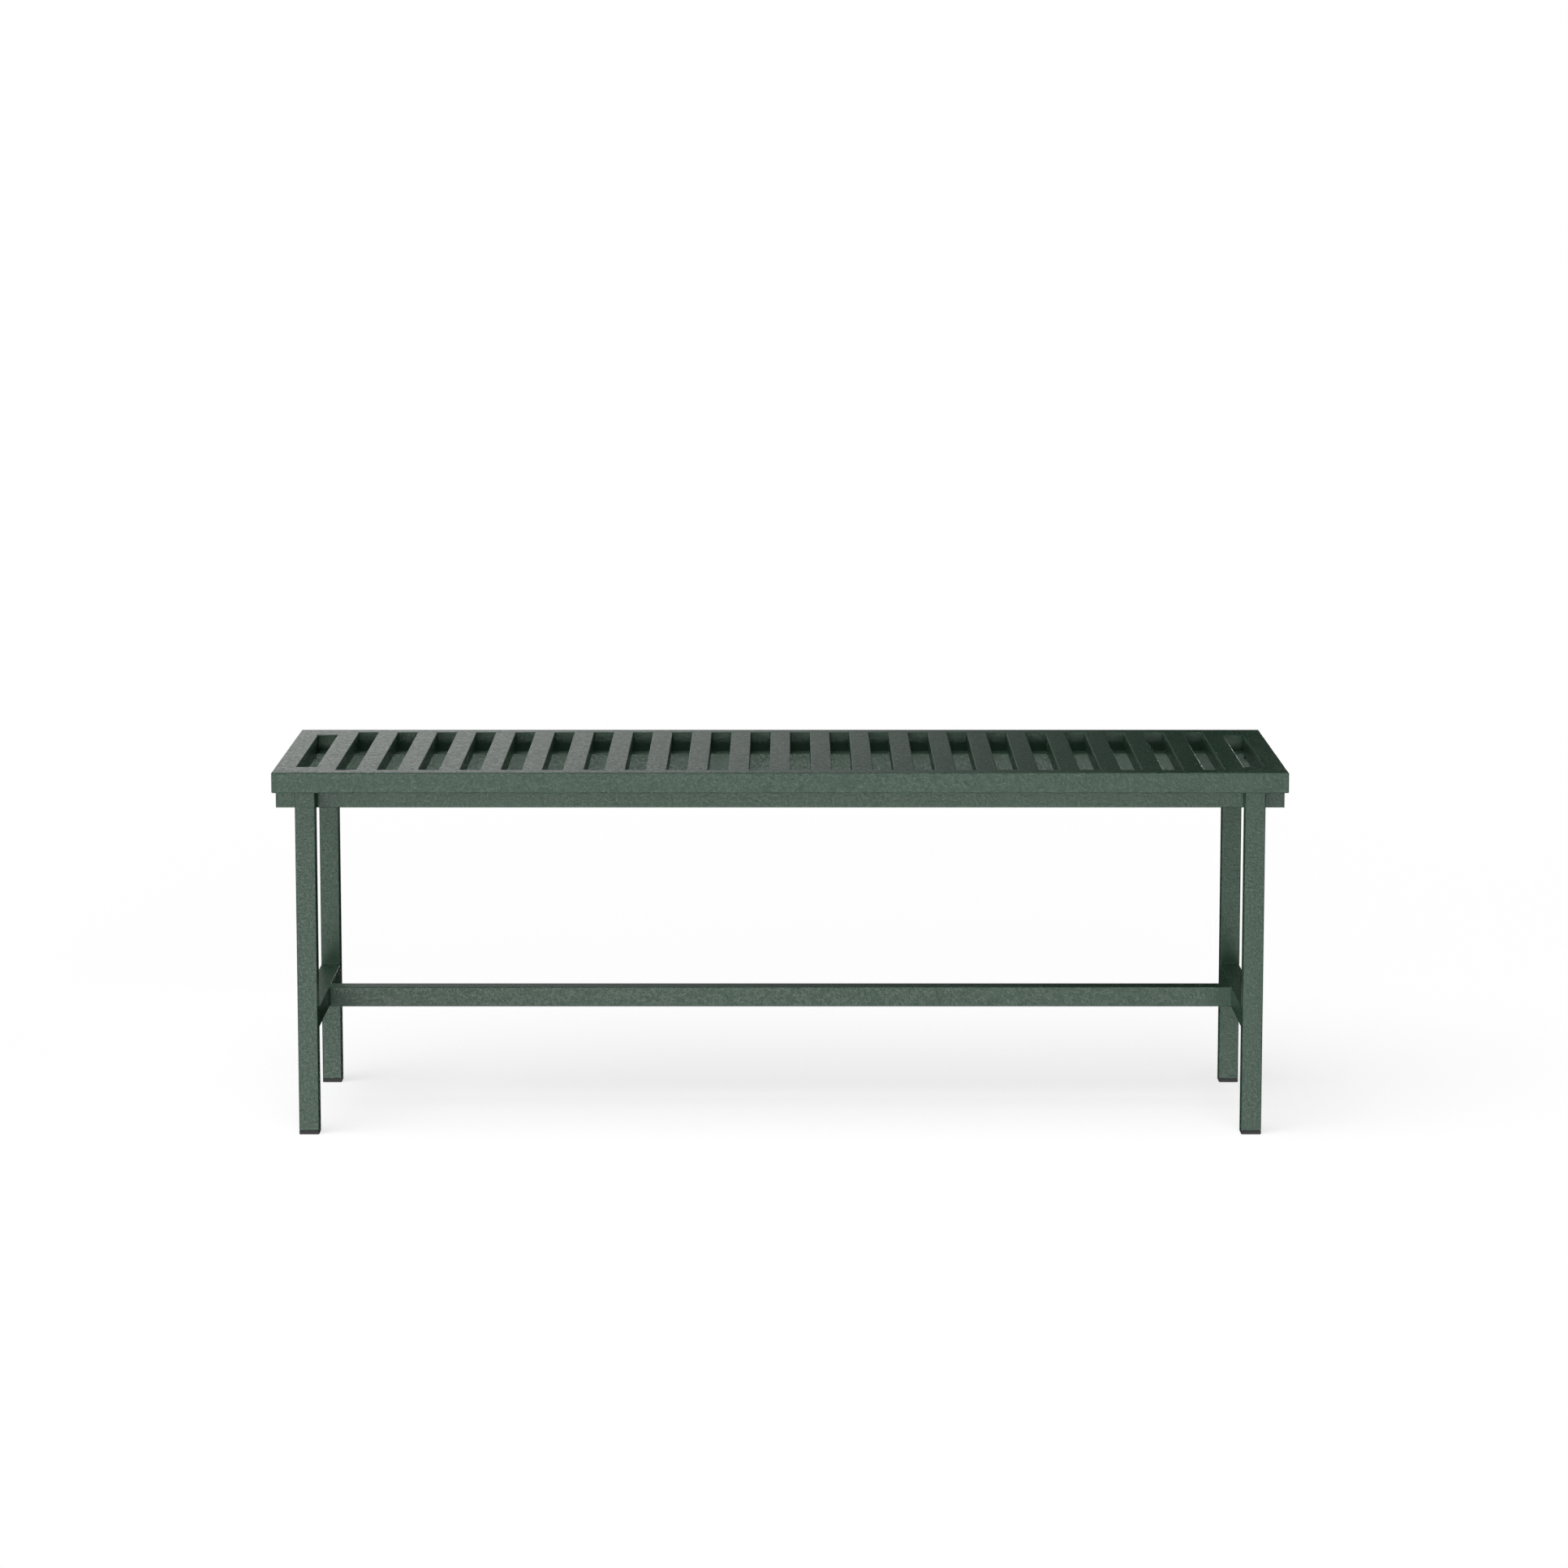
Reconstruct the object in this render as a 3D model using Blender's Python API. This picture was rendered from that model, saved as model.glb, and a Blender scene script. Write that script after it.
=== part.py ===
"""Backless bench with a slatted seat, welded from square metal tube.

+X runs along the bench, +Y from its front to its rear and +Z up. The origin is on
the floor, under the middle of the seat. Every piece is a separate closed solid, and
neighbours keep a hairline weld gap.
"""

import math

import bmesh
import bpy
from mathutils import Vector

# Driving dimensions, in metres
TUBE = 0.025  # outer size of the square tube
WALL = 0.002  # wall of every tube, and thickness of the plates
CORNER = 0.0012  # outer corner radius of every tube
HEIGHT = 0.450  # floor to the seat's top
DEPTH = 0.387  # front to rear, over the seat rails
SLAT_COUNT = 23
SLAT_DROP = 0.020  # height of a slat's section
BEARER_DROP = 0.030  # height of a bearer's section
NOTCH_CLEARANCE = 0.0027  # free height between an end rail and the bearer below it
STRETCHER_BOTTOM = 0.129  # floor to the underside of the stretchers
GLIDE_HEIGHT = 0.005  # the part of a glide that shows below its leg
GAP = 0.0003  # between neighbouring pieces
CORNER_STEPS = 3

# Worked out from the driving dimensions. Slats and slots are both one tube wide.
FITTED = TUBE - 2 * GAP  # section of the tubes that fill a gap between two others
PITCH = 2 * TUBE
LENGTH = 2 * TUBE + SLAT_COUNT * TUBE + (SLAT_COUNT + 1) * TUBE
HALF_LENGTH = LENGTH / 2
HALF_DEPTH = DEPTH / 2
RAIL_Y = HALF_DEPTH - TUBE / 2
RAIL_Z = HEIGHT - TUBE / 2
LEG_X = HALF_LENGTH - 1.5 * TUBE
LEG_Y = HALF_DEPTH - 1.5 * TUBE
LEG_INNER_Y = LEG_Y - TUBE / 2  # the bearers' outer faces, and the side stretchers' ends
BEARER_Y = LEG_INNER_Y - TUBE / 2
BEARER_TOP = HEIGHT - SLAT_DROP
BEARER_BOTTOM = BEARER_TOP - BEARER_DROP
NOTCH_Z = HEIGHT - TUBE - NOTCH_CLEARANCE
STRETCHER_Z = STRETCHER_BOTTOM + TUBE / 2

SIDES = {"left": -1, "right": 1}
ENDS = {"front": -1, "rear": 1}

# Finishes: base colour, roughness and metallic value
PAINT = ((0.068, 0.104, 0.083, 1.0), 0.55, 0.0)
PLASTIC = ((0.052, 0.050, 0.054, 1.0), 0.6, 0.0)


def clear_scene():
    for old in list(bpy.data.objects):
        bpy.data.objects.remove(old, do_unlink=True)


def material(name, colour, roughness, metallic):
    made = bpy.data.materials.new(name)
    made.use_nodes = True
    shader = made.node_tree.nodes["Principled BSDF"]
    shader.inputs["Base Color"].default_value = colour
    shader.inputs["Roughness"].default_value = roughness
    shader.inputs["Metallic"].default_value = metallic
    return made


def add_object(name, bm, finish, location=(0, 0, 0), rotation=(0, 0, 0)):
    """Turn a bmesh into a placed object with its own copy of a finish."""
    bmesh.ops.recalc_face_normals(bm, faces=bm.faces)
    mesh = bpy.data.meshes.new(name)
    bm.to_mesh(mesh)
    bm.free()
    mesh.shade_smooth()
    mesh.set_sharp_from_angle(angle=math.radians(40))
    colour, roughness, metallic = finish
    mesh.materials.append(material(name, colour, roughness, metallic))
    made = bpy.data.objects.new(name, mesh)
    made.location = location
    made.rotation_euler = rotation
    bpy.context.scene.collection.objects.link(made)
    return made


def rounded_rectangle(width, height, radius):
    """Outline points, anticlockwise, of a rectangle with round corners about 0, 0."""
    points = []
    for corner, (sx, sy) in enumerate(((1, 1), (-1, 1), (-1, -1), (1, -1))):
        for step in range(CORNER_STEPS + 1):
            angle = math.radians(90) * (corner + step / CORNER_STEPS)
            x = sx * (width / 2 - radius) + radius * math.cos(angle)
            y = sy * (height / 2 - radius) + radius * math.sin(angle)
            points.append((x, y))
    return points


def add_loop(bm, outline, place):
    return [bm.verts.new(place(u, v)) for u, v in outline]


def bridge(bm, first, second):
    """Quads between two outlines that have the same number of points."""
    count = len(first)
    for i in range(count):
        j = (i + 1) % count
        bm.faces.new((first[i], first[j], second[j], second[i]))


def tube(width, height, length):
    """Hollow tube along X, open at both ends; width is along Y, height along Z."""
    bm = bmesh.new()
    outer = rounded_rectangle(width, height, CORNER)
    inner = rounded_rectangle(width - 2 * WALL, height - 2 * WALL, CORNER / 3)
    loops = []
    for outline in (outer, inner):
        for x in (-length / 2, length / 2):
            loops.append(add_loop(bm, outline, lambda u, v: (x, u, v)))
    outer_start, outer_end, inner_start, inner_end = loops
    bridge(bm, outer_start, outer_end)
    bridge(bm, inner_start, inner_end)
    bridge(bm, outer_start, inner_start)
    bridge(bm, outer_end, inner_end)
    return bm


def box(size):
    bm = bmesh.new()
    bmesh.ops.create_cube(bm, size=1.0)
    bmesh.ops.scale(bm, vec=size, verts=bm.verts)
    return bm


def add_ring(bm, length, depth, section):
    """Rectangular ring with a square section, lying flat about the origin."""
    rows = {}
    for place, inset in (("outer", 0.0), ("inner", section)):
        for level in (-1, 1):
            x = length / 2 - inset
            y = depth / 2 - inset
            corners = ((-x, -y), (x, -y), (x, y), (-x, y))
            rows[place, level] = [
                bm.verts.new((cx, cy, level * section / 2)) for cx, cy in corners
            ]
    bridge(bm, rows["outer", -1], rows["outer", 1])
    bridge(bm, rows["inner", -1], rows["inner", 1])
    bridge(bm, rows["outer", -1], rows["inner", -1])
    bridge(bm, rows["outer", 1], rows["inner", 1])
    return rows


def round_ring(bm, rows):
    """Round a ring's long edges and its four outer upright corners."""
    edges = []
    for (place, level), row in rows.items():
        for i in range(4):
            edges.append(bm.edges.get((row[i], row[(i + 1) % 4])))
    for low, high in zip(rows["outer", -1], rows["outer", 1]):
        edges.append(bm.edges.get((low, high)))
    bmesh.ops.bevel(
        bm,
        geom=edges,
        offset=CORNER,
        segments=CORNER_STEPS,
        profile=0.5,
        affect="EDGES",
    )


def cut(bm, point, normal):
    """Remove what lies on the normal's side of a plane and close the tube's end."""
    everything = bm.verts[:] + bm.edges[:] + bm.faces[:]
    made = bmesh.ops.bisect_plane(
        bm,
        geom=everything,
        plane_co=point,
        plane_no=normal,
        dist=1e-7,
        clear_outer=True,
    )
    rim = [e for e in made["geom_cut"] if isinstance(e, bmesh.types.BMEdge)]
    bmesh.ops.triangle_fill(bm, edges=rim, use_beauty=True, normal=normal)


def mitred_rail(length, depth):
    """Front side of a hollow ring, cut at its mitres; its outer face is towards -Y."""
    bm = bmesh.new()
    rows = add_ring(bm, length, depth, TUBE)
    bmesh.ops.recalc_face_normals(bm, faces=bm.faces)
    round_ring(bm, rows)
    add_ring(bm, length - 2 * WALL, depth - 2 * WALL, TUBE - 2 * WALL)
    cut(bm, Vector((0, 0, 0)), Vector((0, 1, 0)))
    for side in (-1, 1):
        corner = Vector((side * length / 2, -depth / 2, 0))
        away = Vector((side, 1, 0)).normalized()
        cut(bm, corner - away * GAP / 2, away)
    bmesh.ops.translate(bm, verts=bm.verts, vec=(0, (depth - TUBE) / 2, 0))
    return bm


def add_seat_rails():
    quarter = math.radians(90)
    for name, length, depth, place, turn in (
        ("front_rail", LENGTH, DEPTH, (0, -RAIL_Y), 0),
        ("rear_rail", LENGTH, DEPTH, (0, RAIL_Y), 2 * quarter),
        ("left_end_rail", DEPTH, LENGTH, (-HALF_LENGTH + TUBE / 2, 0), -quarter),
        ("right_end_rail", DEPTH, LENGTH, (HALF_LENGTH - TUBE / 2, 0), quarter),
    ):
        rail = mitred_rail(length, depth)
        add_object(name, rail, PAINT, (*place, RAIL_Z), (0, 0, turn))


def add_slats():
    clear_span = DEPTH - 2 * TUBE - 2 * GAP
    first_x = -PITCH * (SLAT_COUNT - 1) / 2
    for number in range(SLAT_COUNT):
        add_object(
            f"slat_{number + 1:02d}",
            tube(TUBE, SLAT_DROP, clear_span),
            PAINT,
            (first_x + PITCH * number, 0, HEIGHT - SLAT_DROP / 2),
            (0, 0, math.radians(90)),
        )


def leg_cap(slot_side):
    """Plate on a leg's top; slot_side is the Y direction of the seat slot beside it."""
    bm = box((FITTED, FITTED, WALL))
    edges = []
    for edge in bm.edges:
        a, b = (v.co for v in edge.verts)
        upright = abs(a.z - b.z) > WALL / 2
        on_top = a.z > 0 and b.z > 0
        beside_slot = a.y * slot_side > 0 and b.y * slot_side > 0
        if upright or (on_top and beside_slot):
            edges.append(edge)
    bmesh.ops.bevel(
        bm,
        geom=edges,
        offset=CORNER,
        segments=CORNER_STEPS,
        profile=0.5,
        affect="EDGES",
    )
    return bm


def glide():
    """Foot with a ribbed plug above it that fits inside the leg tube."""
    chamfer = 0.0006
    bore = FITTED - 2 * WALL
    rib = bore - 2 * GAP
    plug = rib - 0.0015
    rib_count = 3
    rib_pitch = 0.004
    levels = [
        (0.0, FITTED - 2 * chamfer),
        (chamfer, FITTED),
        (GLIDE_HEIGHT - chamfer, FITTED),
        (GLIDE_HEIGHT, FITTED - 2 * chamfer),
        (GLIDE_HEIGHT, plug),
    ]
    for number in range(rib_count):
        base = GLIDE_HEIGHT + rib_pitch * (number + 0.5)
        levels.append((base, plug))
        levels.append((base, rib))
        levels.append((base + rib_pitch / 2, plug))
    levels.append((GLIDE_HEIGHT + rib_pitch * (rib_count + 0.5), plug))
    bm = bmesh.new()
    rings = []
    for z, size in levels:
        outline = rounded_rectangle(size, size, CORNER)
        rings.append(add_loop(bm, outline, lambda u, v: (u, v, z)))
    for lower, upper in zip(rings, rings[1:]):
        bridge(bm, lower, upper)
    bm.faces.new(rings[0])
    bm.faces.new(rings[-1])
    return bm


def add_legs():
    foot = GLIDE_HEIGHT + GAP
    top = HEIGHT - WALL - GAP
    for end, end_sign in ENDS.items():
        for side, side_sign in SIDES.items():
            x = side_sign * LEG_X
            y = end_sign * LEG_Y
            where = f"{end}_{side}"
            add_object(
                f"leg_{where}",
                tube(FITTED, FITTED, top - foot),
                PAINT,
                (x, y, (foot + top) / 2),
                (0, math.radians(90), 0),
            )
            add_object(
                f"leg_cap_{where}",
                leg_cap(-end_sign),
                PAINT,
                (x, y, HEIGHT - WALL / 2),
            )
            add_object(f"glide_{where}", glide(), PLASTIC, (x, y, 0))


def bearer_plate():
    """Step-bent plate that closes a bearer's notch and end; built for the +X end."""
    riser = HALF_LENGTH - TUBE - GAP
    outline = (
        (riser - WALL, BEARER_TOP - GAP),
        (riser - WALL, NOTCH_Z - WALL),
        (HALF_LENGTH - WALL, NOTCH_Z - WALL),
        (HALF_LENGTH - WALL, BEARER_BOTTOM),
        (HALF_LENGTH, BEARER_BOTTOM),
        (HALF_LENGTH, NOTCH_Z),
        (riser, NOTCH_Z),
        (riser, BEARER_TOP - GAP),
    )
    bm = bmesh.new()
    near = [bm.verts.new((x - riser, -TUBE / 2, z - NOTCH_Z)) for x, z in outline]
    far = [bm.verts.new((x - riser, TUBE / 2, z - NOTCH_Z)) for x, z in outline]
    bridge(bm, near, far)
    bm.faces.new(near)
    bm.faces.new(far)
    return bm


def add_notch_cutter(name, side, y):
    """Box over the end of a bearer, down to just under its step-bent plate."""
    shoulder = HALF_LENGTH - TUBE - 2 * GAP - WALL
    floor = NOTCH_Z - WALL - GAP
    cutter = add_object(
        name,
        box((2 * TUBE, 2 * TUBE, 2 * TUBE)),
        PAINT,
        (side * (shoulder + TUBE), y, floor + TUBE),
    )
    cutter.hide_render = True
    cutter.display_type = "WIRE"
    return cutter


def add_bearers():
    tube_end = HALF_LENGTH - WALL - GAP
    middle_z = (BEARER_TOP - GAP + BEARER_BOTTOM) / 2
    for end, end_sign in ENDS.items():
        y = end_sign * BEARER_Y
        section = tube(TUBE, BEARER_DROP - GAP, 2 * tube_end)
        bearer = add_object(f"{end}_bearer", section, PAINT, (0, y, middle_z))
        for side, side_sign in SIDES.items():
            cutter = add_notch_cutter(f"{end}_{side}_notch_cutter", side_sign, y)
            notch = bearer.modifiers.new(f"{side}_notch", "BOOLEAN")
            notch.operation = "DIFFERENCE"
            notch.solver = "EXACT"
            notch.object = cutter
            riser_x = side_sign * (HALF_LENGTH - TUBE - GAP)
            turn = 0 if side_sign > 0 else math.pi
            add_object(
                f"bearer_plate_{end}_{side}",
                bearer_plate(),
                PAINT,
                (riser_x, y, NOTCH_Z),
                (0, 0, turn),
            )


def add_stretchers():
    between_legs = 2 * LEG_INNER_Y
    for side, side_sign in SIDES.items():
        add_object(
            f"{side}_side_stretcher",
            tube(FITTED, TUBE, between_legs),
            PAINT,
            (side_sign * LEG_X, 0, STRETCHER_Z),
            (0, 0, math.radians(90)),
        )
    between_sides = 2 * (LEG_X - TUBE / 2)
    add_object(
        "long_stretcher",
        tube(TUBE, TUBE, between_sides),
        PAINT,
        (0, 0, STRETCHER_Z),
    )


clear_scene()
add_seat_rails()
add_slats()
add_legs()
add_bearers()
add_stretchers()
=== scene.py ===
"""Looks for the backless bench: powder coat, plastic glides, welds, light and camera.

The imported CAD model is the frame. Every CAD node stays as it is and gets a procedural
material, and the welds between the tubes are added here as pieces of their own.
"""

import math

import bmesh
import bpy
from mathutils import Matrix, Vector


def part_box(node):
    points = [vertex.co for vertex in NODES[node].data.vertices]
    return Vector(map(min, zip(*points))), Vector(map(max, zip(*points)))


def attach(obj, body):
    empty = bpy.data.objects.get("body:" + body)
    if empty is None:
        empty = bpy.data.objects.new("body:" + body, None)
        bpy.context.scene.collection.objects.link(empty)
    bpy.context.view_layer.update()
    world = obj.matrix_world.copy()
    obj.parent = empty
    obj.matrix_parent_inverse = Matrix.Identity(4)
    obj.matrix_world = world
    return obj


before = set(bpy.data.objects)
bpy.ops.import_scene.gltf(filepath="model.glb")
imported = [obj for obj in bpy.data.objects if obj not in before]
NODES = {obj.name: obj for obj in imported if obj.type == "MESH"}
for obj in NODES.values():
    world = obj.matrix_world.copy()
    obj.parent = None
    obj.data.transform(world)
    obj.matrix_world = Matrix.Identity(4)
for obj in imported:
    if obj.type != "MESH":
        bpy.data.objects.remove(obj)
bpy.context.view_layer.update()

# Camera, in metres and radians: a long lens in front of the bench, tipped down
CAMERA_PLACE = (0.00465, -6.0945, 1.2998)
CAMERA_PITCH = 0.1453
CAMERA_LENS = 113.78
CAMERA_SENSOR = 36.0
CAMERA_CLIP = 100.0

# Sizes read from the frame, in metres. The bench is symmetric, so each is kept for one side
# and mirrored where it is used
RAIL_LOW, RAIL_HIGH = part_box("front_rail")
SEAT_TOP = RAIL_HIGH.z
RAIL_BOTTOM = RAIL_LOW.z
RAIL_OUTER_Y = -RAIL_LOW.y
RAIL_INNER_Y = -RAIL_HIGH.y
END_LOW, END_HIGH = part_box("right_end_rail")
END_OUTER_X = END_HIGH.x
END_INNER_X = END_LOW.x
SLAT_LOW, SLAT_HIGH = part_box("slat_01")
SLAT_BOTTOM = SLAT_LOW.z
SLAT_END_Y = SLAT_HIGH.y
SLAT_NAMES = sorted(name for name in NODES if name.startswith("slat_"))
LEG_LOW, LEG_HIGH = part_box("leg_front_right")
LEG_X = (LEG_LOW.x, LEG_HIGH.x)
LEG_Y = (-LEG_HIGH.y, -LEG_LOW.y)
BEARER_LOW, BEARER_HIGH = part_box("front_bearer")
BEARER_Y = (-BEARER_HIGH.y, -BEARER_LOW.y)
SIDE_LOW, SIDE_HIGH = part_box("right_side_stretcher")
LONG_LOW, LONG_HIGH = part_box("long_stretcher")
CAP_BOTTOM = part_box("leg_cap_front_right")[0].z
CORNER = 0.0012  # outer corner radius of every tube
CORNER_STEPS = 3

# Shading
SHARP_ANGLE = math.radians(40)  # edges steeper than this stay sharp
JOIN_DISTANCE = 1e-6  # points closer than this are joined
FLAT_FACE_WEIGHT = 100  # of the large flat faces in the shading of their neighbours' corners

# Welds, with lengths in metres
BEAD = 0.0026  # leg length of the fillet beads that show
SMALL_BEAD = 0.0014  # of the beads on the slats
BEAD_STEPS = 6
BEAD_RIPPLE = 0.04  # share of a bead's size that it swells and shrinks by
RIPPLE_PITCH = 0.0024
RIPPLE_SECTIONS = 4
EMBED = 0.0001  # how far a bead sinks into the faces that it joins
LEG_CLEARANCE = 2 * CORNER  # slat edges closer than this to a leg get no bead
BEARER_BEAD_GAP = 4 * CORNER  # what an upright bead keeps clear below the bearer's top


# ---------------------------------------------------------------- materials
# Every size is in metres, every colour is linear, and each pair of limits is where a pattern
# starts and stops turning into what it controls.

# Powder coat: the orange peel, a finer grain on it, and specks, drifts, marks and a painted corner
# highlight in its tone
PEEL_SIZE = 0.0030
PEEL_DEPTH = 0.0003
GRAIN_SIZE = 0.0012
GRAIN_SHARE = 0.3
SPECK_SIZE = 0.0035
SPECK_LIMITS = (0.4, 0.7)
SPECK_STRENGTH = (0.0, 0.45)
DRIFT_SIZE = 0.09
DRIFT_LIMITS = (0.3, 0.7)
MARK_SIZE = 0.012
PAINT_DARK = (0.080, 0.169, 0.114, 1.0)
PAINT_LIGHT = (0.088, 0.183, 0.123, 1.0)
PAINT_SPECK = (0.114, 0.222, 0.152, 1.0)
PAINT_GLOSS_LIMITS = (0.35, 0.65)
PAINT_ROUGHNESS = (0.4, 0.26)
PAINT_IOR = 1.5
# its wear, rub marks on the lowest part of the legs; and paler corners, a painted highlight along
# the rounded edges in patches
RUB_HEIGHTS = (0.008, 0.06)
RUB_STRENGTH = (0.5, 0.0)
RUB_LIMITS = (0.55, 0.65)
RUB_ROUGHNESS = 0.3
PAINT_RUBBED = (0.17, 0.23, 0.19, 1.0)
HIGHLIGHT_TURN = (0.99, 0.8)
HIGHLIGHT_LIMITS = (0.3, 0.6)
HIGHLIGHT_STRENGTH = (0.1, 0.4)
PAINT_EDGE_HIGHLIGHT = (0.16, 0.27, 0.20, 1.0)

# Glide plastic: a fine mould texture, patches in its tone, and a scuffed lower edge
TEXTURE_SIZE = 0.0006
TEXTURE_DEPTH = 0.00006
TEXTURE_STRENGTH = 0.3
TEXTURE_LIMITS = (0.2, 0.8)
PATCH_SIZE = 0.004
PATCH_LIMITS = (0.3, 0.7)
SCUFF_HEIGHTS = (0.0, 0.0012)
SCUFF_LIMITS = (0.45, 0.65)
PLASTIC_DARK = (0.078, 0.077, 0.081, 1.0)
PLASTIC_LIGHT = (0.096, 0.094, 0.098, 1.0)
PLASTIC_SCUFF = (0.20, 0.195, 0.19, 1.0)
PLASTIC_ROUGHNESS = (0.45, 0.65)
PLASTIC_IOR = 1.47

# The Mix node's sockets for colours
MIX_FACTOR = 0
MIX_FIRST = 6
MIX_SECOND = 7
MIX_RESULT = 2


class Graph:
    """Short calls for building a node tree."""

    def __init__(self, tree):
        self.tree = tree
        tree.nodes.clear()

    def node(self, kind, settings=(), **inputs):
        made = self.tree.nodes.new(kind)
        for key, value in dict(settings).items():
            setattr(made, key, value)
        for key, value in inputs.items():
            self.feed(made.inputs[key.replace("_", " ")], value)
        return made

    def feed(self, socket, value):
        if isinstance(value, bpy.types.NodeSocket):
            self.tree.links.new(value, socket)
        else:
            socket.default_value = value

    def math(self, operation, *values):
        made = self.node("ShaderNodeMath", {"operation": operation})
        for socket, value in zip(made.inputs, values):
            self.feed(socket, value)
        return made.outputs[0]

    def ramp(self, value, from_low, from_high, to_low=0.0, to_high=1.0):
        """Takes value smoothly from one pair of limits to another, and holds it beyond them."""
        made = self.node("ShaderNodeMapRange", {"interpolation_type": "SMOOTHSTEP"})
        for name, given in (
            ("Value", value),
            ("From Min", from_low),
            ("From Max", from_high),
            ("To Min", to_low),
            ("To Max", to_high),
        ):
            self.feed(made.inputs[name], given)
        return made.outputs["Result"]

    def noise(self, place, size, detail=2.0, roughness=0.5):
        """Noise whose grains are about size metres across."""
        made = self.node("ShaderNodeTexNoise")
        self.feed(made.inputs["Vector"], place)
        made.inputs["Scale"].default_value = 1.0 / size
        made.inputs["Detail"].default_value = detail
        made.inputs["Roughness"].default_value = roughness
        return made.outputs["Fac"]

    def mix(self, factor, first, second):
        """A colour that goes from first to second as factor goes from 0 to 1."""
        made = self.node("ShaderNodeMix", {"data_type": "RGBA"})
        self.feed(made.inputs[MIX_FACTOR], factor)
        self.feed(made.inputs[MIX_FIRST], first)
        self.feed(made.inputs[MIX_SECOND], second)
        return made.outputs[MIX_RESULT]


def new_material(name):
    made = bpy.data.materials.new(name)
    made.use_nodes = True
    return made, Graph(made.node_tree)


def add_shader(g, colour, gloss, ior, bump):
    """Ends a material with the shader that its patterns feed."""
    shader = g.node(
        "ShaderNodeBsdfPrincipled",
        Base_Color=colour,
        Roughness=gloss,
        Normal=bump.outputs["Normal"],
    )
    shader.inputs["IOR"].default_value = ior
    g.node("ShaderNodeOutputMaterial", Surface=shader.outputs["BSDF"])


def powder_coat():
    """Satin green powder coat over orange peel, with specks, drifts and wear in its tone, and a
    highlight painted on its rounded corners.
    """
    made, g = new_material("green_powder_coat_finish")
    place = g.node("ShaderNodeTexCoord").outputs["Object"]
    peel = g.noise(place, PEEL_SIZE)
    grain = g.noise(place, GRAIN_SIZE, roughness=0.6)
    speck = g.noise(place, SPECK_SIZE, roughness=0.6)
    drift = g.noise(place, DRIFT_SIZE, detail=3.0)
    marks = g.noise(place, MARK_SIZE, detail=4.0, roughness=0.7)
    tone = g.mix(g.ramp(drift, *DRIFT_LIMITS), PAINT_DARK, PAINT_LIGHT)
    colour = g.mix(g.ramp(speck, *SPECK_LIMITS, *SPECK_STRENGTH), tone, PAINT_SPECK)

    # rub marks, strongest near the floor
    height = g.node("ShaderNodeSeparateXYZ", Vector=place).outputs["Z"]
    low = g.ramp(height, *RUB_HEIGHTS, *RUB_STRENGTH)
    rubs = g.math("MULTIPLY", low, g.ramp(marks, *RUB_LIMITS))
    colour = g.mix(rubs, colour, PAINT_RUBBED)

    # every tube face looks along an axis, so a normal between axes is on a rounded corner; these
    # corners are painted paler in patches, as a painted highlight
    facing = g.node("ShaderNodeNewGeometry").outputs["Normal"]
    shares = g.node("ShaderNodeSeparateXYZ", Vector=facing).outputs
    x, y, z = [g.math("ABSOLUTE", share) for share in shares]
    along = g.math("MAXIMUM", g.math("MAXIMUM", x, y), z)
    turned = g.ramp(along, *HIGHLIGHT_TURN)
    corner_highlight = g.math("MULTIPLY", turned, g.ramp(marks, *HIGHLIGHT_LIMITS, *HIGHLIGHT_STRENGTH))
    colour = g.mix(corner_highlight, colour, PAINT_EDGE_HIGHLIGHT)

    satin = g.ramp(speck, *PAINT_GLOSS_LIMITS, *PAINT_ROUGHNESS)
    gloss = g.math("MULTIPLY_ADD", rubs, RUB_ROUGHNESS, satin)
    relief = g.math("MULTIPLY_ADD", grain, GRAIN_SHARE, peel)
    bump = g.node("ShaderNodeBump", Strength=1.0, Distance=PEEL_DEPTH, Height=relief)
    add_shader(g, colour, gloss, PAINT_IOR, bump)
    return made


def glide_plastic():
    """Grey moulded plastic with a faint mould texture, scuffed paler at its lower edge."""
    made, g = new_material("grey_glide_plastic_finish")
    place = g.node("ShaderNodeTexCoord").outputs["Object"]
    height = g.node("ShaderNodeSeparateXYZ", Vector=place).outputs["Z"]
    texture = g.noise(place, TEXTURE_SIZE)
    patches = g.noise(place, PATCH_SIZE, detail=3.0, roughness=0.6)
    base = g.mix(g.ramp(patches, *PATCH_LIMITS), PLASTIC_DARK, PLASTIC_LIGHT)
    low = g.ramp(height, *SCUFF_HEIGHTS, 1.0, 0.0)
    scuff = g.math("MULTIPLY", low, g.ramp(patches, *SCUFF_LIMITS))
    colour = g.mix(scuff, base, PLASTIC_SCUFF)
    gloss = g.ramp(texture, *TEXTURE_LIMITS, *PLASTIC_ROUGHNESS)
    bump = g.node(
        "ShaderNodeBump", Strength=TEXTURE_STRENGTH, Distance=TEXTURE_DEPTH, Height=texture
    )
    add_shader(g, colour, gloss, PLASTIC_IOR, bump)
    return made


PAINT = powder_coat()
PLASTIC = glide_plastic()


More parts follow.
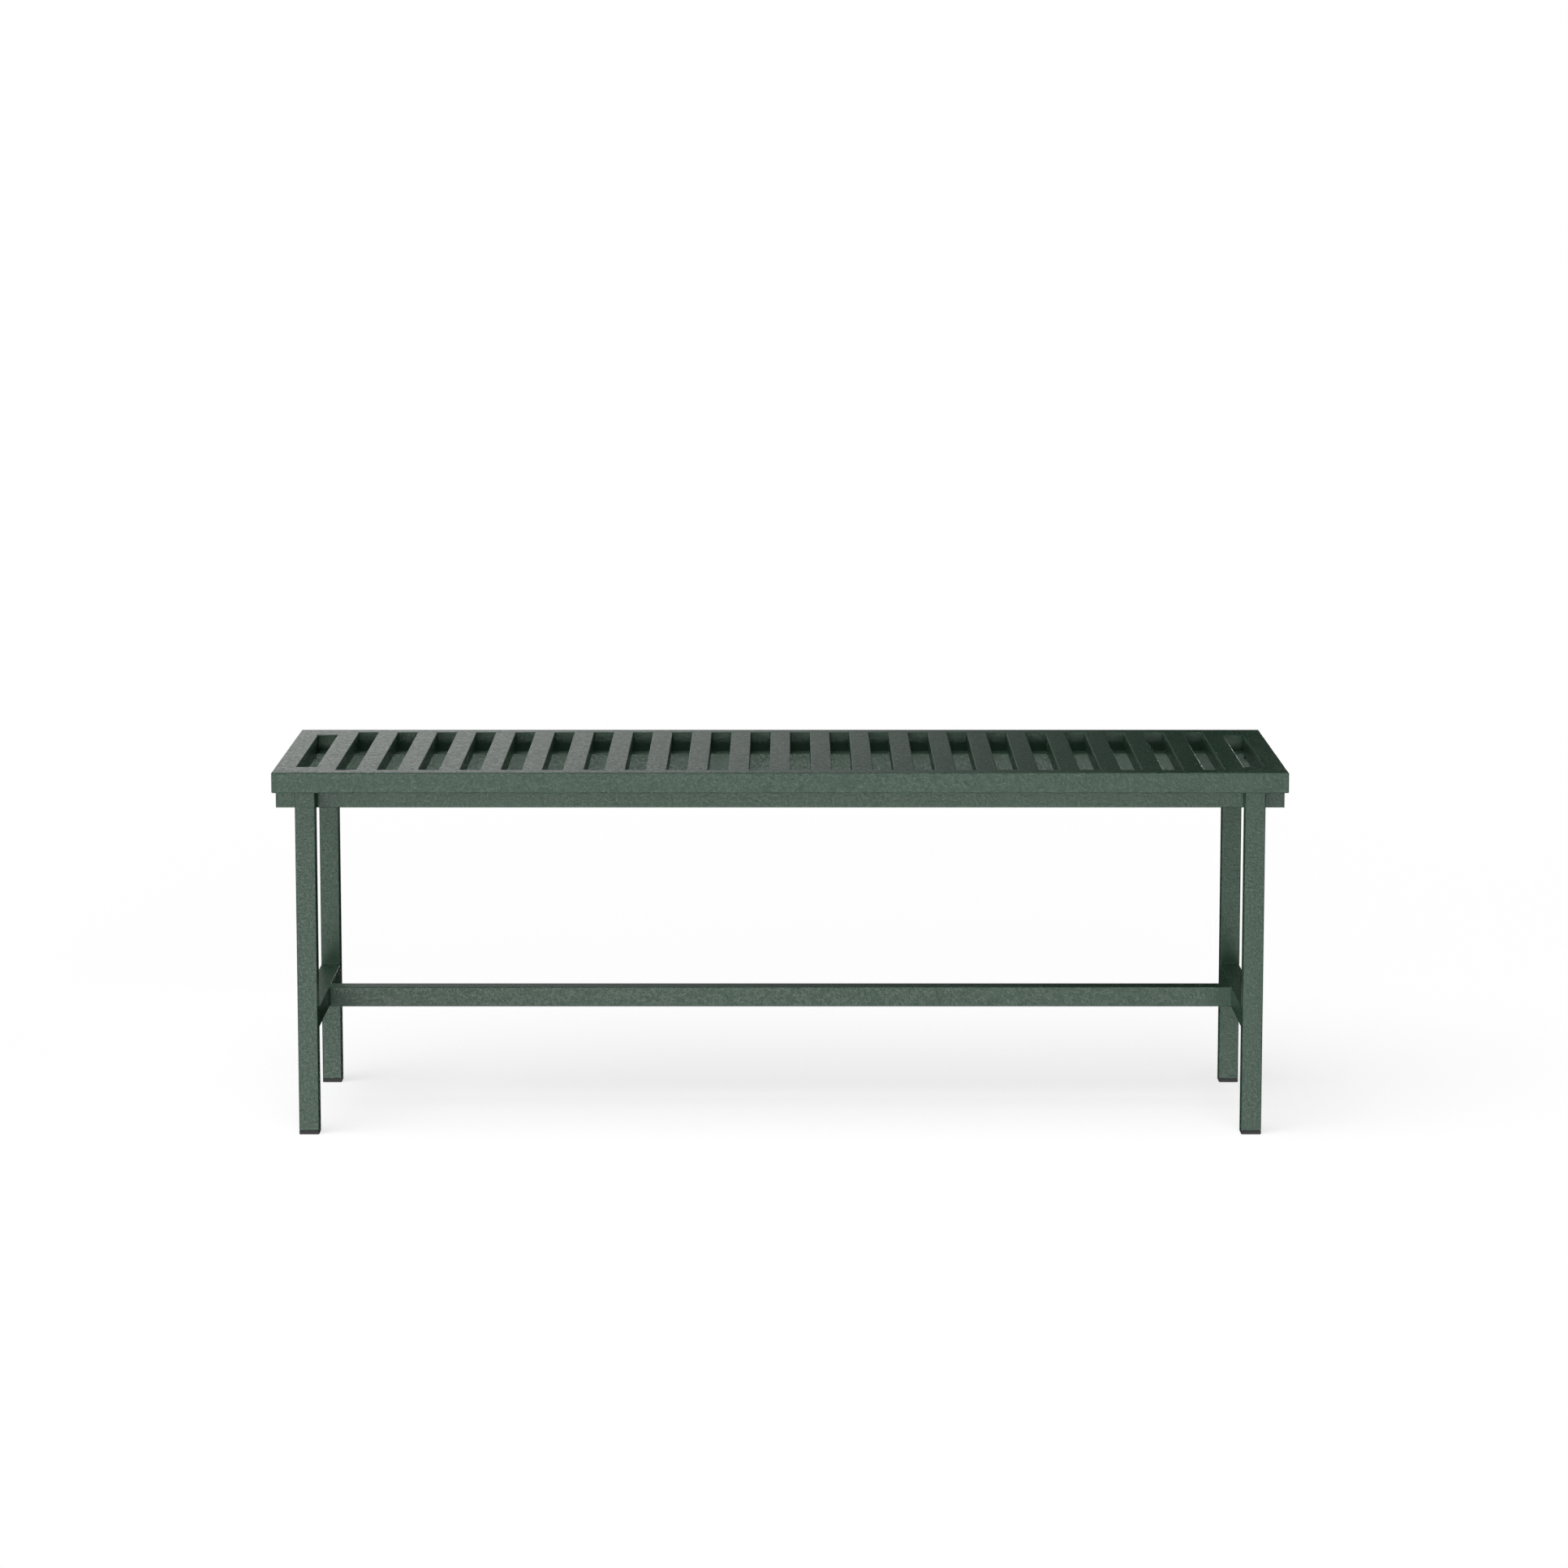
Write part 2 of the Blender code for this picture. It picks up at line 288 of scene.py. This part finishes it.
# ---------------------------------------------------------------- CAD nodes
def corner_smoothing():
    """Geometry nodes that join each tube's loose triangles, so that its corners shade round."""
    tree = bpy.data.node_groups.new("corner_smoothing", "GeometryNodeTree")
    for way in ("INPUT", "OUTPUT"):
        tree.interface.new_socket("Geometry", in_out=way, socket_type="NodeSocketGeometry")
    g = Graph(tree)
    start = g.node("NodeGroupInput")
    loose = g.node("GeometryNodeRemoveAttribute", Name="custom_normal")
    g.feed(loose.inputs["Geometry"], start.outputs[0])
    joined = g.node("GeometryNodeMergeByDistance", Distance=JOIN_DISTANCE)
    g.feed(joined.inputs["Geometry"], loose.outputs[0])
    smooth = g.node("GeometryNodeSetShadeSmooth", {"domain": "FACE"})
    g.feed(smooth.inputs["Geometry"], joined.outputs[0])
    angle = g.node("GeometryNodeInputMeshEdgeAngle")
    steep = g.node("FunctionNodeCompare", {"data_type": "FLOAT", "operation": "GREATER_THAN"})
    g.feed(steep.inputs[0], angle.outputs[0])
    steep.inputs[1].default_value = SHARP_ANGLE
    sharp = g.node("GeometryNodeSetShadeSmooth", {"domain": "EDGE"})
    sharp.inputs["Shade Smooth"].default_value = False
    g.feed(sharp.inputs["Geometry"], smooth.outputs[0])
    g.feed(sharp.inputs["Selection"], steep.outputs[0])
    end = g.node("NodeGroupOutput")
    g.feed(end.inputs[0], sharp.outputs[0])
    return tree


def finish_cad_nodes():
    """Gives every CAD node its material and smooth shading at its corners."""
    smoothing = corner_smoothing()
    for name, node in NODES.items():
        node.data.materials.clear()
        node.data.materials.append(PLASTIC if name.startswith("glide") else PAINT)
        node.modifiers.new("corners", "NODES").node_group = smoothing
        normals = node.modifiers.new("normals", "WEIGHTED_NORMAL")
        normals.keep_sharp = True
        normals.weight = FLAT_FACE_WEIGHT


# ---------------------------------------------------------------- weld pieces
def painted_piece(name, bm):
    """Turns a finished bmesh into a painted piece that rides on the bench."""
    bmesh.ops.recalc_face_normals(bm, faces=bm.faces)
    mesh = bpy.data.meshes.new(name)
    bm.to_mesh(mesh)
    bm.free()
    mesh.materials.append(PAINT)
    mesh.shade_smooth()
    mesh.set_sharp_from_angle(angle=SHARP_ANGLE)
    made = bpy.data.objects.new(name, mesh)
    bpy.context.scene.collection.objects.link(made)
    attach(made, "root")


def loft(bm, rings):
    """Joins rings of points into one closed solid with flat ends."""
    made = [[bm.verts.new(point) for point in ring] for ring in rings]
    count = len(made[0])
    for first, second in zip(made, made[1:]):
        for i in range(count):
            j = (i + 1) % count
            bm.faces.new((first[i], first[j], second[j], second[i]))
    bm.faces.new(list(reversed(made[0])))
    bm.faces.new(made[-1])


def rounded_outline(width, height):
    """Points round a tube's outline, centred on 0, with its corner radius."""
    points = []
    for quarter, (sx, sy) in enumerate(((1, 1), (-1, 1), (-1, -1), (1, -1))):
        for step in range(CORNER_STEPS + 1):
            angle = math.radians(90 * quarter + 90 * step / CORNER_STEPS)
            points.append(
                (
                    sx * (width / 2 - CORNER) + CORNER * math.cos(angle),
                    sy * (height / 2 - CORNER) + CORNER * math.sin(angle),
                )
            )
    return points


def bead(bm, start, end, side_a, side_b, size=BEAD):
    """A concave fillet bead along the inside corner from start to end.

    side_a and side_b point away from the corner, along the two faces that it joins."""
    start, end = Vector(start), Vector(end)
    a, b = Vector(side_a), Vector(side_b)
    length = (end - start).length
    sections = max(2, round(length / (RIPPLE_PITCH / RIPPLE_SECTIONS)))
    rings = []
    for i in range(sections + 1):
        corner = start.lerp(end, i / sections)
        wave = math.cos(2 * math.pi * length * i / sections / RIPPLE_PITCH)
        s = size * (1 + BEAD_RIPPLE * wave)
        ring = [corner - EMBED * a - EMBED * b, corner + s * a - EMBED * b]
        for step in range(BEAD_STEPS + 1):
            angle = math.radians(90 * step / BEAD_STEPS)
            ring.append(corner + s * (1 - math.sin(angle)) * a + s * (1 - math.cos(angle)) * b)
        ring.append(corner + s * b - EMBED * a)
        rings.append(ring)
    loft(bm, rings)


def block(bm, x, y, z):
    """A closed box between three pairs of limits."""
    rings = [[(x[i], y[j], z[k]) for j, k in ((0, 0), (1, 0), (1, 1), (0, 1))] for i in (0, 1)]
    loft(bm, rings)


def add_slat_welds():
    """Each slat's end is welded to its rail and ground flush, with a small bead in the slot."""
    for side_name, side in (("front", -1), ("rear", 1)):
        bm = bmesh.new()
        for name in SLAT_NAMES:
            low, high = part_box(name)
            x = (low.x + high.x) / 2
            z = (low.z + high.z) / 2
            outline = rounded_outline(high.x - low.x, high.z - low.z)
            depths = (SLAT_END_Y, RAIL_INNER_Y + CORNER)
            loft(bm, [[(x + u, side * y, z + v) for u, v in outline] for y in depths])
            for edge_x, way in ((low.x, -1), (high.x, 1)):
                if abs(edge_x) > LEG_X[0] - LEG_CLEARANCE:
                    continue
                bead(
                    bm,
                    (edge_x, side * RAIL_INNER_Y, SEAT_TOP - CORNER),
                    (edge_x, side * RAIL_INNER_Y, SLAT_BOTTOM + CORNER),
                    (way, 0, 0),
                    (0, -side, 0),
                    SMALL_BEAD,
                )
            bead(
                bm,
                (low.x + CORNER, side * RAIL_INNER_Y, SLAT_BOTTOM),
                (high.x - CORNER, side * RAIL_INNER_Y, SLAT_BOTTOM),
                (0, -side, 0),
                (0, 0, -1),
                BEAD,
            )
        painted_piece(f"slat_welds_{side_name}", bm)


def add_slat_bearer_welds():
    """Beads where each slat crosses the two bearers."""
    for side_name, side in (("front", -1), ("rear", 1)):
        bm = bmesh.new()
        for name in SLAT_NAMES:
            low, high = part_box(name)
            for edge_x, way in ((low.x, -1), (high.x, 1)):
                bead(
                    bm,
                    (edge_x, side * (BEARER_Y[0] + CORNER), BEARER_HIGH.z),
                    (edge_x, side * (BEARER_Y[1] - CORNER), BEARER_HIGH.z),
                    (way, 0, 0),
                    (0, 0, 1),
                    SMALL_BEAD,
                )
        painted_piece(f"slat_bearer_welds_{side_name}", bm)


def add_mitre_welds():
    """Each mitred corner is welded and ground flush, which leaves a narrow flat on its edge."""
    width = END_OUTER_X - END_INNER_X
    height = SEAT_TOP - RAIL_BOTTOM
    z = (SEAT_TOP + RAIL_BOTTOM) / 2
    mid_x = (END_OUTER_X + END_INNER_X) / 2
    mid_y = (RAIL_OUTER_Y + RAIL_INNER_Y) / 2
    short_x = END_OUTER_X - RAIL_HIGH.x
    short_y = RAIL_OUTER_Y - END_HIGH.y
    outline = rounded_outline(width, height)
    bm = bmesh.new()
    for sx in (-1, 1):
        for sy in (-1, 1):
            rail_side = [(sx * (mid_x + u - short_x), sy * (mid_y + u), z + v) for u, v in outline]
            end_side = [(sx * (mid_x + u), sy * (mid_y + u - short_y), z + v) for u, v in outline]
            loft(bm, [rail_side, end_side])
    painted_piece("mitre_welds", bm)


def add_leg_top_welds():
    """Flush welds round each leg's top, between the slat, the end rail and the seat rail."""
    bm = bmesh.new()
    slat_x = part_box(SLAT_NAMES[-1])[1].x
    cap_outline = rounded_outline(LEG_X[1] - LEG_X[0], LEG_Y[1] - LEG_Y[0])
    mid_x, mid_y = sum(LEG_X) / 2, sum(LEG_Y) / 2
    outer = (
        (slat_x - CORNER, LEG_Y[0]),
        (slat_x - CORNER, RAIL_INNER_Y + CORNER),
        (END_INNER_X + CORNER, RAIL_INNER_Y + CORNER),
        (END_INNER_X + CORNER, LEG_Y[0]),
    )
    inner = [(mid_x + u, mid_y + v) for u, v in cap_outline]
    # the leg's outline from the end-rail side, round by the seat rail, to the slat side
    by_rail = sorted((p for p in inner if p[1] > mid_y), key=lambda p: -p[0])
    band = [(LEG_X[1], LEG_Y[0]), *by_rail, (LEG_X[0], LEG_Y[0])]
    profile = list(outer) + band
    levels = (SLAT_BOTTOM, SEAT_TOP)
    seam = (LEG_HIGH.z, CAP_BOTTOM)
    for sx in (-1, 1):
        for sy in (-1, 1):
            loft(bm, [[(sx * x, sy * y, z) for x, y in profile] for z in levels])
            loft(bm, [[(sx * x, sy * y, z) for x, y in inner] for z in seam])
    painted_piece("leg_top_welds", bm)


def add_bearer_welds():
    """Upright beads beside each leg and a level one below, where it meets its bearer."""
    bm = bmesh.new()
    for sx in (-1, 1):
        for sy in (-1, 1):
            face = sy * BEARER_Y[1]
            for leg_x, way in ((LEG_X[0], -1), (LEG_X[1], 1)):
                bead(
                    bm,
                    (sx * leg_x, face, BEARER_LOW.z + CORNER),
                    (sx * leg_x, face, BEARER_HIGH.z - BEARER_BEAD_GAP),
                    (sx * way, 0, 0),
                    (0, sy, 0),
                )
            bead(
                bm,
                (sx * (LEG_X[0] + CORNER), sy * LEG_Y[0], BEARER_LOW.z),
                (sx * (LEG_X[1] - CORNER), sy * LEG_Y[0], BEARER_LOW.z),
                (0, -sy, 0),
                (0, 0, -1),
            )
    painted_piece("bearer_welds", bm)


def add_side_stretcher_welds():
    """Beads above and below each end of the side stretchers, and flush strips at their sides."""
    bm = bmesh.new()
    for sx in (-1, 1):
        for sy in (-1, 1):
            for z, way in ((SIDE_HIGH.z, 1), (SIDE_LOW.z, -1)):
                bead(
                    bm,
                    (sx * (LEG_X[0] + CORNER), sy * LEG_Y[0], z),
                    (sx * (LEG_X[1] - CORNER), sy * LEG_Y[0], z),
                    (0, -sy, 0),
                    (0, 0, way),
                )
            limits_y = (sy * SIDE_HIGH.y, sy * (LEG_Y[0] + CORNER))
            limits_z = (SIDE_LOW.z + CORNER, SIDE_HIGH.z - CORNER)
            block(bm, (sx * LEG_X[0], sx * LEG_X[1]), limits_y, limits_z)
    painted_piece("side_stretcher_welds", bm)


def add_long_stretcher_welds():
    """Upright beads and flush strips where the long stretcher meets the side stretchers."""
    bm = bmesh.new()
    for sx in (-1, 1):
        for y, way in ((LONG_LOW.y, -1), (LONG_HIGH.y, 1)):
            bead(
                bm,
                (sx * SIDE_LOW.x, y, SIDE_LOW.z + CORNER),
                (sx * SIDE_LOW.x, y, SIDE_HIGH.z - CORNER),
                (-sx, 0, 0),
                (0, way, 0),
            )
        limits_x = (sx * LONG_HIGH.x, sx * (SIDE_LOW.x + CORNER))
        limits_y = (LONG_LOW.y + CORNER, LONG_HIGH.y - CORNER)
        block(bm, limits_x, limits_y, (SIDE_LOW.z, SIDE_HIGH.z))
    painted_piece("long_stretcher_welds", bm)


# ---------------------------------------------------------------- stage and light
FLOOR_RADIUS = 26.0
FLOOR_SEGMENTS = 96
DOME_SEGMENTS = 64
DOME_RINGS = 32
FLOOR_GLOW = 0.71
FLOOR_DIFFUSE = 0.8
STAGE_WHITE = (1.0, 1.0, 1.0, 1.0)
AMBIENT_GLOW = 0.004
IN_FRONT = -1
BEHIND = 1
HALF_FADE = 0.05  # how softly the front half of the studio turns into the back half
LEAST_LEVEL = 0.001  # stands in for the level part of a ray that goes straight up or down
# The studio's bright panels, far off all round: where and how bright, then where the left,
# right, bottom and top edges fade from 0 to full. Left and right are shares across, from
# -1 at the bench's left to 1 at its right, and bottom and top are heights, from -1 to 1.
PANELS = (
    # a strong one low in front, and the pale ground
    (IN_FRONT, 3.5, (-0.34, -0.2), (0.25, 0.15), (-0.5, -0.4), (-0.04, -0.12)),
    (IN_FRONT, 0.15, (-1.2, -1.1), (1.2, 1.1), (-1.2, -1.1), (-0.5, -0.6)),
    # the right wall, the left wall and a weak one above the camera
    (IN_FRONT, 0.6, (0.85, 0.95), (1.2, 1.1), (0.05, 0.15), (0.45, 0.35)),
    (IN_FRONT, 1.8, (-1.2, -1.1), (-0.25, -0.35), (-0.15, -0.05), (0.3, 0.2)),
    (IN_FRONT, 0.4, (-0.35, -0.25), (0.35, 0.25), (0.2, 0.3), (0.65, 0.55)),
    # a strip on the horizon behind the right end, the pale ground and the right wall
    (BEHIND, 8.0, (0.13, 0.17), (0.5, 0.4), (-0.06, -0.01), (0.13, 0.07)),
    (BEHIND, 0.15, (-1.2, -1.1), (1.2, 1.1), (-1.2, -1.1), (-0.5, -0.6)),
    (BEHIND, 0.6, (0.85, 0.95), (1.2, 1.1), (0.05, 0.15), (0.45, 0.35)),
)
# The softbox low behind the bench, which the tops of the tubes mirror: its distance back, and
# where its left, right, bottom and top edges fade from 0 to full, in metres. Its right side
# fades over most of its width, so the tops darken from left to right
SOFTBOX_GLOW = 0.94
SOFTBOX_Y = 0.75
SOFTBOX_LEFT = (-1.0, -0.85)
SOFTBOX_RIGHT = (0.68, -0.78)
SOFTBOX_BOTTOM = (0.15, 0.62)
SOFTBOX_TOP = (0.95, 0.8)
TOP_LIGHT_POWER = 0.52
TOP_LIGHT_TOWARDS = (0.3, 0.15, -1.0)
TOP_LIGHT_SPREAD = math.radians(50)
FLOOR_LIGHT_POWER = 1.12
FLOOR_LIGHT_TOWARDS = (0.3, 0.5, -1.0)
FLOOR_LIGHT_SPREAD = math.radians(60)


def camera_only(obj):
    """Shows an object in the picture and keeps it out of the light."""
    obj.visible_diffuse = False
    obj.visible_glossy = False
    obj.visible_shadow = False
    obj.visible_transmission = False
    obj.visible_volume_scatter = False


def plain_object(name, bm, material):
    """Turns a finished bmesh into an object that is not part of the bench."""
    mesh = bpy.data.meshes.new(name)
    bm.to_mesh(mesh)
    bm.free()
    mesh.materials.append(material)
    made = bpy.data.objects.new(name, mesh)
    bpy.context.scene.collection.objects.link(made)
    return made


def add_stage():
    """A pale floor that is clear from below, inside a plain white dome."""
    pale, g = new_material("pale_floor")
    matt = g.node("ShaderNodeBsdfDiffuse")
    matt.inputs["Color"].default_value = (FLOOR_DIFFUSE,) * 3 + (1.0,)
    glow = g.node("ShaderNodeEmission", Strength=FLOOR_GLOW)
    lit = g.node("ShaderNodeAddShader")
    g.feed(lit.inputs[0], matt.outputs[0])
    g.feed(lit.inputs[1], glow.outputs[0])
    under = g.node("ShaderNodeNewGeometry").outputs["Backfacing"]
    clear = g.node("ShaderNodeBsdfTransparent")
    both = g.node("ShaderNodeMixShader")
    g.feed(both.inputs[0], under)
    g.feed(both.inputs[1], lit.outputs[0])
    g.feed(both.inputs[2], clear.outputs[0])
    g.node("ShaderNodeOutputMaterial", Surface=both.outputs[0])
    bm = bmesh.new()
    bmesh.ops.create_circle(bm, cap_ends=True, segments=FLOOR_SEGMENTS, radius=FLOOR_RADIUS)
    floor = plain_object("floor", bm, pale)
    camera_only(floor)

    white, g = new_material("white_backdrop")
    glow = g.node("ShaderNodeEmission")
    glow.inputs["Color"].default_value = STAGE_WHITE
    g.node("ShaderNodeOutputMaterial", Surface=glow.outputs[0])
    bm = bmesh.new()
    bmesh.ops.create_uvsphere(
        bm, u_segments=DOME_SEGMENTS, v_segments=DOME_RINGS, radius=FLOOR_RADIUS
    )
    camera_only(plain_object("backdrop", bm, white))
    return floor


def add_world():
    """The studio's panels, all round an almost black room."""
    world = bpy.data.worlds.new("studio")
    bpy.context.scene.world = world
    world.use_nodes = True
    g = Graph(world.node_tree)
    ray = g.node("ShaderNodeTexCoord").outputs["Generated"]
    x, y, z = g.node("ShaderNodeSeparateXYZ", Vector=ray).outputs
    squares = g.math("ADD", g.math("MULTIPLY", x, x), g.math("MULTIPLY", y, y))
    level = g.math("MAXIMUM", g.math("SQRT", squares), LEAST_LEVEL)
    across = g.math("DIVIDE", x, level)
    behind = g.math("DIVIDE", y, level)
    glow = AMBIENT_GLOW
    for side, strength, left, right, bottom, top in PANELS:
        panel = g.ramp(behind, -HALF_FADE * side, HALF_FADE * side)
        for place, fade in ((across, left), (across, right), (z, bottom), (z, top)):
            panel = g.math("MULTIPLY", panel, g.ramp(place, *fade))
        glow = g.math("MULTIPLY_ADD", panel, strength, glow)
    lit = g.node("ShaderNodeBackground", Strength=glow)
    lit.inputs["Color"].default_value = STAGE_WHITE
    g.node("ShaderNodeOutputWorld", Surface=lit.outputs[0])


def light_only(lamp, receivers):
    """Limits a lamp to its receivers."""
    lit = bpy.data.collections.new(lamp.name + "_receivers")
    for obj in receivers:
        lit.objects.link(obj)
    lamp.light_linking.receiver_collection = lit


def add_softbox(receivers):
    """A softbox that the camera does not see, brightest at its left."""
    cloth, g = new_material("softbox_cloth")
    place = g.node("ShaderNodeTexCoord").outputs["Object"]
    x, _, z = g.node("ShaderNodeSeparateXYZ", Vector=place).outputs
    glow = SOFTBOX_GLOW
    for value, fade in (
        (x, SOFTBOX_LEFT),
        (x, SOFTBOX_RIGHT),
        (z, SOFTBOX_BOTTOM),
        (z, SOFTBOX_TOP),
    ):
        glow = g.math("MULTIPLY", g.ramp(value, *fade), glow)
    lit = g.node("ShaderNodeEmission", Strength=glow)
    g.node("ShaderNodeOutputMaterial", Surface=lit.outputs[0])
    bm = bmesh.new()
    corners = [
        (SOFTBOX_LEFT[0], SOFTBOX_BOTTOM[0]),
        (SOFTBOX_RIGHT[0], SOFTBOX_BOTTOM[0]),
        (SOFTBOX_RIGHT[0], SOFTBOX_TOP[0]),
        (SOFTBOX_LEFT[0], SOFTBOX_TOP[0]),
    ]
    bm.faces.new([bm.verts.new((u, SOFTBOX_Y, w)) for u, w in corners])
    made = plain_object("softbox", bm, cloth)
    made.visible_camera = False
    made.visible_shadow = False
    light_only(made, receivers)


def add_soft_light(name, power, towards, spread, receivers):
    """A soft light from above that lights only its receivers."""
    light = bpy.data.lights.new(name, "SUN")
    light.energy = power
    light.angle = spread
    made = bpy.data.objects.new(name, light)
    made.rotation_euler = Vector(towards).to_track_quat("-Z", "Y").to_euler()
    bpy.context.scene.collection.objects.link(made)
    light_only(made, receivers)


def add_camera():
    """A long lens in front of the bench and above it, tipped down."""
    camera = bpy.data.cameras.new("camera")
    camera.lens = CAMERA_LENS
    camera.sensor_width = CAMERA_SENSOR
    camera.clip_end = CAMERA_CLIP
    made = bpy.data.objects.new("camera", camera)
    made.location = CAMERA_PLACE
    made.rotation_euler = (math.pi / 2 - CAMERA_PITCH, 0.0, 0.0)
    bpy.context.scene.collection.objects.link(made)
    bpy.context.scene.camera = made


finish_cad_nodes()
add_slat_welds()
add_slat_bearer_welds()
add_mitre_welds()
add_leg_top_welds()
add_bearer_welds()
add_side_stretcher_welds()
add_long_stretcher_welds()
BENCH = [obj for obj in bpy.data.objects if obj.type == "MESH"]
FLOOR = add_stage()
add_world()
add_softbox(BENCH)
add_soft_light("top_light", TOP_LIGHT_POWER, TOP_LIGHT_TOWARDS, TOP_LIGHT_SPREAD, BENCH)
add_soft_light(
    "floor_light", FLOOR_LIGHT_POWER, FLOOR_LIGHT_TOWARDS, FLOOR_LIGHT_SPREAD, [FLOOR]
)
add_camera()
bpy.context.scene.view_settings.view_transform = "Standard"
